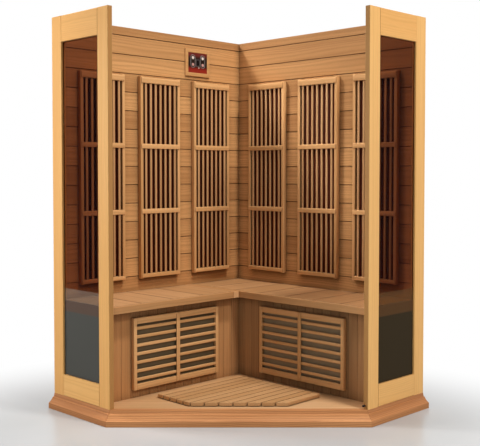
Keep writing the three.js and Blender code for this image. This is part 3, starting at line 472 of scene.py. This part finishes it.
def heater_grille(side, number):
    node = f"heater_grille_{side}_{number}"
    face = f"wall_{side}"
    low, high = extents(node, face)
    members = Members(node)
    inner_left, inner_right = low.x + GRILLE_STILE, high.x - GRILLE_STILE
    foot, head = low.z + GRILLE_BOTTOM_RAIL, high.z - GRILLE_TOP_RAIL
    for start, end in ((low.x, inner_left), (inner_right, high.x)):
        members.add((start, low.y, low.z), (end, high.y - RAIL_PROUD, high.z), "zxy", ARRIS)
    rail_left, rail_right = low.x + RAIL_INSET, high.x - RAIL_INSET
    end_back = high.y - GRILLE_END_DEPTH
    for start, end in ((low.z + RAIL_INSET, foot), (head, high.z - RAIL_INSET)):
        members.add((rail_left, end_back, start), (rail_right, high.y, end), "xzy", ARRIS)

    clear = (head - foot - 2 * GRILLE_MIDDLE_RAIL) / 3
    rail_back = high.y - GRILLE_MIDDLE_DEPTH
    for index in range(2):
        base = foot + clear + index * (clear + GRILLE_MIDDLE_RAIL)
        top = base + GRILLE_MIDDLE_RAIL
        members.add((rail_left, rail_back, base), (rail_right, high.y, top), "xzy", ARRIS)
    slat_front = rail_back + HOUSING
    run = inner_right - inner_left - 2 * SLAT_END_GAP - SLAT_WIDTH
    for index in range(SLATS):
        x = inner_left + SLAT_END_GAP + run * index / (SLATS - 1)
        members.add(
            (x, slat_front - SLAT_DEPTH, foot - TENON),
            (x + SLAT_WIDTH, slat_front, head + TENON),
            "zxy",
            SLAT_ROUNDING,
            SLAT,
        )
    woods = (grille_wood, slat_shaded_wood)
    timber(f"{node}_boards", members, face, woods, "cabin", node)


# Leg heater grilles under the benches

LEG_STILE = 19 * MM
LEG_RAIL = 29 * MM
LEG_CENTRE_STILE = 21 * MM
LEG_CENTRE_DEPTH = 7 * MM
LEG_CENTRE_PROUD = 3 * MM
LEG_CENTRE_INSET = 3 * MM
LOUVRES = 7
LOUVRE_HEIGHT = 16 * MM
LOUVRE_DEPTH = 9 * MM
LOUVRE_END_GAP = 13 * MM
LOUVRE_ROUNDING = 4 * MM


def leg_grille(side):
    node = f"leg_grille_{side}"
    face = f"wall_{side}"
    low, high = extents(node, face)
    members = Members(node)
    inner_left, inner_right = low.x + LEG_STILE, high.x - LEG_STILE
    foot, head = low.z + LEG_RAIL, high.z - LEG_RAIL
    frame_front = high.y - LEG_CENTRE_PROUD
    for start, end in ((low.x, inner_left), (inner_right, high.x)):
        members.add((start, low.y, low.z), (end, frame_front, high.z), "zxy", ARRIS)
    for start, end in ((low.z, foot), (head, high.z)):
        rail_front = frame_front - JOINT_STEP
        members.add((inner_left, low.y, start), (inner_right, rail_front, end), "xzy", ARRIS)
    middle = (low.x + high.x) / 2
    stile_back = high.y - LEG_CENTRE_DEPTH
    members.add(
        (middle - LEG_CENTRE_STILE / 2, stile_back, low.z + LEG_CENTRE_INSET),
        (middle + LEG_CENTRE_STILE / 2, high.y, high.z - LEG_CENTRE_INSET),
        "zxy",
        ARRIS,
    )
    run = head - foot - 2 * LOUVRE_END_GAP - LOUVRE_HEIGHT
    front = stile_back + HOUSING
    for index in range(LOUVRES):
        base = foot + LOUVRE_END_GAP + run * index / (LOUVRES - 1)
        members.add(
            (inner_left - TENON, front - LOUVRE_DEPTH, base),
            (inner_right + TENON, front, base + LOUVRE_HEIGHT),
            "xzy",
            LOUVRE_ROUNDING,
        )
    timber(f"{node}_boards", members, face, (grille_wood,), "cabin", node)


for side in ("left", "right"):
    leg_grille(side)
    for number in (1, 2, 3):
        heater_grille(side, number)


# Boards, frames and base

BOARD_COVER = 96.2 * MM
WALL_SEED = {"left": 1710.0, "right": 403.0}
SEAT_SEED = {"left": 55.0, "right": 485.0}
KICK_SEED = {"left": 1631.0, "right": 86.0}
STARTER_BOARD = 55 * MM
SEAT_BOARD = 180 * MM
KICK_BOARD = 55 * MM
PLANK_PITCH = 46 * MM


def even_pitch(length, cover):
    return length / max(1, round(length / cover))


for number, side in enumerate(("left", "right")):
    wall, panel = f"wall_{side}", f"side_{side}"
    for name in (f"rear_{side}_lining", f"rear_{side}_back_panel"):
        foot = extents(name, wall)[0].z + STARTER_BOARD
        dress(name, WALL_WOOD, wall, "xzy", WALL_SEED[side], BOARD_COVER, foot, 2.8 * MM, 0.55)

    seat = f"bench_{side}_seat"
    low, high = extents(seat, wall)
    pitch = even_pitch(high.x - low.x, SEAT_BOARD)
    dress(seat, BENCH_WOOD, wall, "yxz", SEAT_SEED[side], pitch, low.x, 5.0 * MM)
    dress(f"bench_{side}_front_rail", RAIL_WOOD, wall, "xzy", 0.31 + 0.2 * number)
    dress(f"bench_{side}_cleat", RAIL_WOOD, wall, "xzy", 0.63 + 0.2 * number)

    kick = f"kick_panel_{side}"
    low, high = extents(kick, wall)
    pitch = even_pitch(high.x - low.x, KICK_BOARD)
    dress(kick, KICK_WOOD[side], wall, "zxy", KICK_SEED[side], pitch, low.x, 1.0 * MM, 0.55)

    for place, seed in (("rear", 0.13), ("front", 0.44)):
        stile = f"side_{side}_{place}_stile"
        cut_edge = place == "front"
        dress(stile, FRAME_WOOD, panel, "zxy", seed + 0.3 * number, gloss=0.4, edges=cut_edge)
    for place, seed in (("top", 0.10), ("bottom", 0.50)):
        rail = f"side_{side}_{place}_rail"
        dress(rail, FRAME_WOOD, panel, "xzy", seed + 0.3 * number, gloss=0.4, edges=True)
    dress(f"plinth_{side}", PLINTH_WOOD, panel, "xzy", 0.35 + 0.3 * number)
    dress(f"rear_rail_{side}", PLINTH_WOOD, wall, "xzy", 0.17 + 0.3 * number)
    dress(f"floor_bearer_{number + 1}", PLINTH_WOOD, "front", "xzy", 0.27 + 0.3 * number)

dress("bench_left_end_rail", END_RAIL_WOOD, "wall_left", "yxz", 0.71)
dress("plinth_front", PLINTH_WOOD, "front", "xzy", 0.52)
dress("floor_panel", FLOOR_WOOD, "front", "xyz", 0.4)
dress("control_frame", CONTROL_WOOD, "wall_left", "xzy", 0.33)
low, high = extents("duckboard", "side_right")
pitch = even_pitch(high.y - low.y, PLANK_PITCH)
dress("duckboard", DUCK_WOOD, "side_right", "xyz", 23.0, pitch, low.y)


def ease(node, width):
    """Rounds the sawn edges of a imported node."""
    target = nodes[node]
    target.modifiers.new("weld", "WELD")
    flat = target.modifiers.new("flat", "DECIMATE")
    flat.decimate_type = "DISSOLVE"
    flat.angle_limit = math.radians(1.0)
    rounded = target.modifiers.new("eased", "BEVEL")
    rounded.width = width
    rounded.segments = 2
    rounded.limit_method = "ANGLE"
    rounded.angle_limit = math.radians(40.0)


for node in ("duckboard", "bench_left_end_rail", "plinth_front", "plinth_left", "plinth_right"):
    ease(node, 1.2 * MM)


# Other materials


def assign(names, material):
    for name in names:
        nodes[name].data.materials.clear()
        nodes[name].data.materials.append(material)


def heater_material(name, colour, spark):
    shader = Shader(name)
    point = shader.node("ShaderNodeTexCoord").outputs["Object"]
    weave = shader.noise(point, (420.0, 420.0, 420.0), 2.0)
    cloud = shader.noise(point, (6.0, 6.0, 6.0), 2.0)
    tone = shader.mix(shader.math("MULTIPLY_ADD", cloud, 0.8, 0.1), linear(colour), linear(spark))
    rough = shader.math("MULTIPLY_ADD", weave, 0.3, 0.5)
    shader.set(Base_Color=tone, Roughness=rough, Specular_IOR_Level=0.12)
    shader.bump(weave, 0.2, 0.3 * MM)
    return shader.material


def plastic_material(name, colour, worn, rough, bands=()):
    """Moulded plastic with a fine grain and small tone changes."""
    shader = Shader(name)
    point = shader.node("ShaderNodeTexCoord").outputs["Object"]
    grain = shader.noise(point, (900.0, 900.0, 900.0), 2.0)
    cloud = shader.noise(point, (60.0, 60.0, 60.0), 3.0)
    tone = shader.mix(shader.math("MULTIPLY_ADD", cloud, 0.9, 0.05), linear(colour), linear(worn))
    height = shader.separate(point)[2]
    for start, end, band in bands:
        fade = shader.math("MULTIPLY", shader.ramp(height, start, end), 0.95)
        tone = shader.mix(fade, tone, linear(band))
    rough = shader.math("MULTIPLY_ADD", grain, 0.15, rough - 0.07)
    shader.set(Base_Color=tone, Roughness=rough, Specular_IOR_Level=0.15)
    shader.bump(grain, 0.1, 0.1 * MM)
    return shader.material


assign(
    [f"heater_panel_{side}_{n}" for side in ("left", "right") for n in (1, 2, 3)],
    heater_material("wall_heater", "5c2410", "44190b"),
)
assign(["leg_heater_left"], heater_material("leg_heater_left", "7e6a4e", "5e4f3a"))
# The right leg heater is a paler copy of the left: painted light where the right grille lies in shade.
assign(["leg_heater_right"], heater_material("leg_heater_right", "a48c6c", "806c52"))
assign(["locating_peg"], plastic_material("peg_black", "1a1210", "2a201c", 0.6))
low, high = extents("control_face", "wall_left")
RED_TOP, RED_FOOT = 6 * MM, 14 * MM
RED_FADE = 26 * MM
assign(["control_face"], plastic_material(
    "control_face", "1a0e0b", "26160f", 0.4,
    (
        (high.z - RED_TOP - RED_FADE, high.z - RED_TOP, "6c241e"),
        (low.z + RED_FOOT + RED_FADE, low.z + RED_FOOT, "8e261a"),
    ),
))


# Small pieces of the control panel


def bands_between(loops, closed_start=True, closed_end=True):
    """Faces between point loops of one length, with flat caps at both ends."""
    points = [point for loop in loops for point in loop]
    count = len(loops[0])
    faces = []
    for level in range(len(loops) - 1):
        low, high = level * count, (level + 1) * count
        for index in range(count):
            after = (index + 1) % count
            faces.append((low + index, low + after, high + after, high + index))
    faces.append(tuple(range(count))[::-1])
    last = (len(loops) - 1) * count
    faces.append(tuple(range(last, last + count)))
    return points, faces


def stadium(centre, radius, straight, inset, y, steps):
    """Loop of an oval, or of a circle where straight is 0, set in from its edge."""
    reach = radius - inset
    points = []
    for index in range(2 * steps):
        angle = math.pi * (index + 0.5) / steps
        side = 1.0 if math.sin(angle) > 0 else -1.0
        x = centre.x + reach * math.cos(angle)
        z = centre.z + reach * math.sin(angle) + side * straight / 2
        points.append((x, y, z))
    return points


def fitting(name, points, faces, material, body, replaced):
    made = new_mesh(name, points, faces, "wall_left")
    smooth(made)
    made.data.materials.append(material)
    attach(made, body)
    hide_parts(replaced)
    return made


def push_button(node, material):
    """Round cap with a rolled rim and a shallow dish for the finger."""
    low, high = extents(node, "wall_left")
    centre = (low + high) / 2
    radius = (high.x - low.x) / 2
    roll, dish = 1.4 * MM, 0.5 * MM
    levels = [(0.0, low.y)]
    for step in range(6):
        angle = math.radians(90.0 * step / 5)
        levels.append((roll * (1 - math.cos(angle)), high.y - roll * (1 - math.sin(angle))))
    levels += [(0.3 * radius, high.y), (0.5 * radius, high.y - 0.6 * dish), (0.8 * radius, high.y - dish)]
    loops = [stadium(centre, radius, 0.0, inset, y, 20) for inset, y in levels]
    points, faces = bands_between(loops)
    fitting(f"{node}_cap", points, faces, material, f"{node}_body", node)


def oval_surround(node, material):
    """Oval ring with a half-round section."""
    low, high = extents(node, "wall_left")
    centre = (low + high) / 2
    radius = (high.x - low.x) / 2
    straight = (high.z - low.z) - 2 * radius
    width, height = 3.5 * MM, high.y - low.y
    loops = []
    for step in range(9):
        angle = math.pi * step / 8
        inset = width * (1 - math.cos(angle)) / 2
        loops.append(stadium(centre, radius, straight, inset, low.y + height * math.sin(angle), 24))
    points, faces = bands_between(loops)
    count = len(loops[0])
    faces = faces[:-2]
    last = (len(loops) - 1) * count
    for index in range(count):
        after = (index + 1) % count
        faces.append((last + index, last + after, after, index))
    fitting(f"{node}_ring", points, faces, material, "cabin", node)


def lens_dome(node, material):
    low, high = extents(node, "wall_left")
    centre = (low + high) / 2
    radius = (high.x - low.x) / 2
    rise = 1.4 * MM
    levels = [(0.0, low.y)]
    for step in range(6):
        angle = math.radians(15.0 * step)
        levels.append((radius * (1 - math.cos(angle)), high.y - rise * (1 - math.sin(angle))))
    loops = [stadium(centre, radius, 0.0, inset, y, 14) for inset, y in levels]
    points, faces = bands_between(loops)
    fitting(f"{node}_dome", points, faces, material, "cabin", node)


def rounded_loop(low, high, corner, inset, y, steps=4):
    """Loop of a rectangle with rounded corners, set in from its edge."""
    reach = max(corner - inset, 0.2 * MM)
    points = []
    for quarter, (x, z) in enumerate((
        (high.x, high.z), (low.x, high.z), (low.x, low.z), (high.x, low.z),
    )):
        inward_x = -1.0 if x == high.x else 1.0
        inward_z = -1.0 if z == high.z else 1.0
        for step in range(steps + 1):
            angle = math.radians(90.0 * (quarter + step / steps))
            points.append((
                x + inward_x * (inset + reach) + reach * math.cos(angle),
                y,
                z + inward_z * (inset + reach) + reach * math.sin(angle),
            ))
    return points


def display(node, rim, glass):
    """Window with a narrow raised rim round a sunk dark pane."""
    low, high = extents(node, "wall_left")
    corner = 2.0 * MM
    levels = (
        (0.0, low.y),
        (0.0, high.y - 0.3 * MM),
        (0.3 * MM, high.y),
        (1.3 * MM, high.y),
        (1.6 * MM, high.y - 0.4 * MM),
    )
    loops = [rounded_loop(low, high, corner, inset, y) for inset, y in levels]
    points, faces = bands_between(loops)
    made = fitting(f"{node}_pane", points, faces, rim, "cabin", node)
    made.data.materials.append(glass)
    made.data.polygons[len(faces) - 1].material_index = 1


upper_cap = plastic_material("button_upper", "efe4da", "d9cabd", 0.35)
lower_cap = plastic_material("button_lower", "d8a59a", "bd8a80", 0.35)
surround = plastic_material("bezel", "8f8884", "746e6a", 0.3)
for column in ("left", "right"):
    push_button(f"button_upper_{column}", upper_cap)
    push_button(f"button_lower_{column}", lower_cap)
    oval_surround(f"button_bezel_{column}", surround)
lens_dome("indicator_lens", upper_cap)
display(
    "display_window",
    plastic_material("display_rim", "8a8482", "6c6765", 0.35),
    plastic_material("display_glass", "0d0b0b", "18161a", 0.12),
)


# Glass

FILM_RISE = 63 * MM
PAINTED_SEAT_RISE = 4 * MM
BACKING_DROP = 13 * MM
FILM_COVER = 0.15
PAINTED_SEAT_COVER = 0.55
BACKING_COVER = 0.17


def glass_material(side, film, painted_seat_colour, backing):
    """Bronze-tinted glass with a grey film low down, a painted brown strip standing in for the seat seen
    through it, and a dark backing below.
    """
    shader = Shader(f"tinted_glass_{side}")
    point = shader.node("ShaderNodeTexCoord").outputs["Object"]
    height = shader.separate(point)[2]
    smear = shader.noise(point, (5.0, 5.0, 2.0), 3.0)
    seat_low, seat_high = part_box(f"bench_{side}_seat")
    top, edge, foot = seat_high.z + FILM_RISE, seat_high.z + PAINTED_SEAT_RISE, seat_low.z - BACKING_DROP
    filmed = shader.ramp(height, top + MM, top - MM)
    # Painted view of the seat: a brown strip from just above the seat top down to the backing.
    painted_seat_mask = shader.ramp(height, edge + MM, edge - MM)
    backed = shader.ramp(height, foot + 4 * MM, foot - 4 * MM)
    tint = shader.mix(smear, linear("96766a"), linear("8c6c60"))
    colour = shader.mix(filmed, tint, linear(film))
    colour = shader.mix(painted_seat_mask, colour, linear(painted_seat_colour))
    colour = shader.mix(backed, colour, linear(backing))
    clear = shader.math("MULTIPLY_ADD", filmed, -FILM_COVER, 1.0)
    clear = shader.math("MULTIPLY_ADD", painted_seat_mask, -PAINTED_SEAT_COVER, clear)
    clear = shader.math("MULTIPLY_ADD", backed, -BACKING_COVER, clear)
    shader.set(
        Base_Color=colour,
        Transmission_Weight=clear,
        Roughness=shader.math("MULTIPLY", smear, 0.03),
        IOR=1.06,
    )
    return shader.material


assign(["side_left_glass"], glass_material("left", "a8a49e", "705c51", "585752"))
assign(["side_right_glass"], glass_material("right", "8e7452", "66482d", "3e3323"))


# Floor, light and camera


def floor():
    reach = 40.0
    made = new_mesh(
        "studio_floor",
        [(-reach, -reach, 0.0), (reach, -reach, 0.0), (reach, reach, 0.0), (-reach, reach, 0.0)],
        [(0, 1, 2, 3)],
        "front",
    )
    made.location.z = -0.2 * MM
    shader = Shader("studio_floor")
    point = shader.node("ShaderNodeTexCoord").outputs["Object"]
    away = shader.node("ShaderNodeVectorMath", operation="DISTANCE")
    shader.put(away.inputs[0], point)
    away.inputs[1].default_value = (-0.1, -0.9, 0.0)
    far = shader.ramp(away.outputs["Value"], 0.95, 2.0)
    speck = shader.noise(point, (3.0, 3.0, 3.0), 2.0)
    tone = shader.mix(speck, (0.48, 0.48, 0.48), (0.52, 0.52, 0.52))
    shader.set(Base_Color=tone, Roughness=0.26, Specular_IOR_Level=0.35)
    glow = shader.node("ShaderNodeEmission")
    path = shader.node("ShaderNodeLightPath")
    seen = shader.math("MAXIMUM", path.outputs["Is Camera Ray"], path.outputs["Is Glossy Ray"])
    seen = shader.math("MAXIMUM", seen, path.outputs["Is Transmission Ray"])
    shown = shader.node("ShaderNodeMixShader")
    shader.put(shown.inputs[0], shader.math("MULTIPLY", far, seen))
    shader.put(shown.inputs[1], shader.surface.outputs[0])
    shader.put(shown.inputs[2], glow.outputs[0])
    shader.put(shader.tree.nodes["Material Output"].inputs["Surface"], shown.outputs[0])
    made.data.materials.append(shader.material)


FILL_COLOUR = (0.8, 0.92, 1.0)
KEY_COLOUR = (1.0, 0.975, 0.94)


def sky(level):
    """White to look at, and a lower even light on the object."""
    world = bpy.data.worlds.new("studio")
    world.use_nodes = True
    tree = world.node_tree
    background = tree.nodes["Background"]
    path = tree.nodes.new("ShaderNodeLightPath")
    strength = None
    for label in ("Is Camera Ray", "Is Glossy Ray", "Is Transmission Ray"):
        if strength is None:
            strength = path.outputs[label]
            continue
        either = tree.nodes.new("ShaderNodeMath")
        either.operation = "MAXIMUM"
        tree.links.new(strength, either.inputs[0])
        tree.links.new(path.outputs[label], either.inputs[1])
        strength = either.outputs[0]
    spread = tree.nodes.new("ShaderNodeMix")
    spread.data_type = "RGBA"
    spread.inputs[6].default_value = [level * c for c in FILL_COLOUR] + [1.0]
    spread.inputs[7].default_value = (1.0, 1.0, 1.0, 1.0)
    tree.links.new(strength, spread.inputs[0])
    tree.links.new(spread.outputs[2], background.inputs["Color"])
    bpy.context.scene.world = world


def area_light(name, place, target, width, height, power, colour=(1.0, 1.0, 1.0), spread=180.0):
    lamp = bpy.data.lights.new(name, "AREA")
    lamp.shape = "RECTANGLE"
    lamp.size = width
    lamp.size_y = height
    lamp.energy = power
    lamp.color = colour
    lamp.spread = math.radians(spread)
    made = bpy.data.objects.new(name, lamp)
    bpy.context.scene.collection.objects.link(made)
    made.location = place
    made.rotation_mode = "QUATERNION"
    made.rotation_quaternion = (Vector(target) - Vector(place)).to_track_quat("-Z", "Y")
    made.visible_transmission = False


def camera():
    lens = bpy.data.cameras.new("photo_view")
    lens.sensor_width = 36.0
    lens.lens = 65.318
    lens.shift_x = 0.0025
    lens.shift_y = -0.0375
    made = bpy.data.objects.new("photo_view", lens)
    bpy.context.scene.collection.objects.link(made)
    made.location = (0.0, -4.5226, 1.1453)
    made.rotation_euler = (math.radians(87.939), 0.0, 0.0)
    bpy.context.scene.camera = made


floor()
sky(0.23)
area_light("front_right", (3.9, -4.75, 5.2), (-0.3, 0.1, 0.8), 0.7, 0.7, 132.0, KEY_COLOUR)
area_light("key_right", (1.95, -1.9, 6.0), (-0.3, 0.0, 0.9), 0.6, 0.6, 185.0, KEY_COLOUR)
area_light("key_left", (-2.91, 0.22, 4.4), (0.1, 0.4, 0.8), 0.9, 0.9, 21.8, spread=56.0)
area_light("overhead", (0.0, -0.35, 4.6), (0.0, -0.2, 0.3), 0.8, 0.8, 42.0)
area_light("front_fill", (-0.8, -4.9, 1.5), (0.3, 0.0, 0.6), 1.5, 1.5, 1.8, FILL_COLOUR, 50.0)
area_light("side_left", (-3.4, -0.75, 1.5), (-0.75, -0.44, 0.9), 0.6, 1.6, 9.0, KEY_COLOUR, 80.0)
area_light("side_right", (3.4, -0.75, 1.2), (0.75, -0.44, 0.6), 0.6, 1.6, 9.5)
camera()
bpy.context.scene.view_settings.view_transform = "Standard"
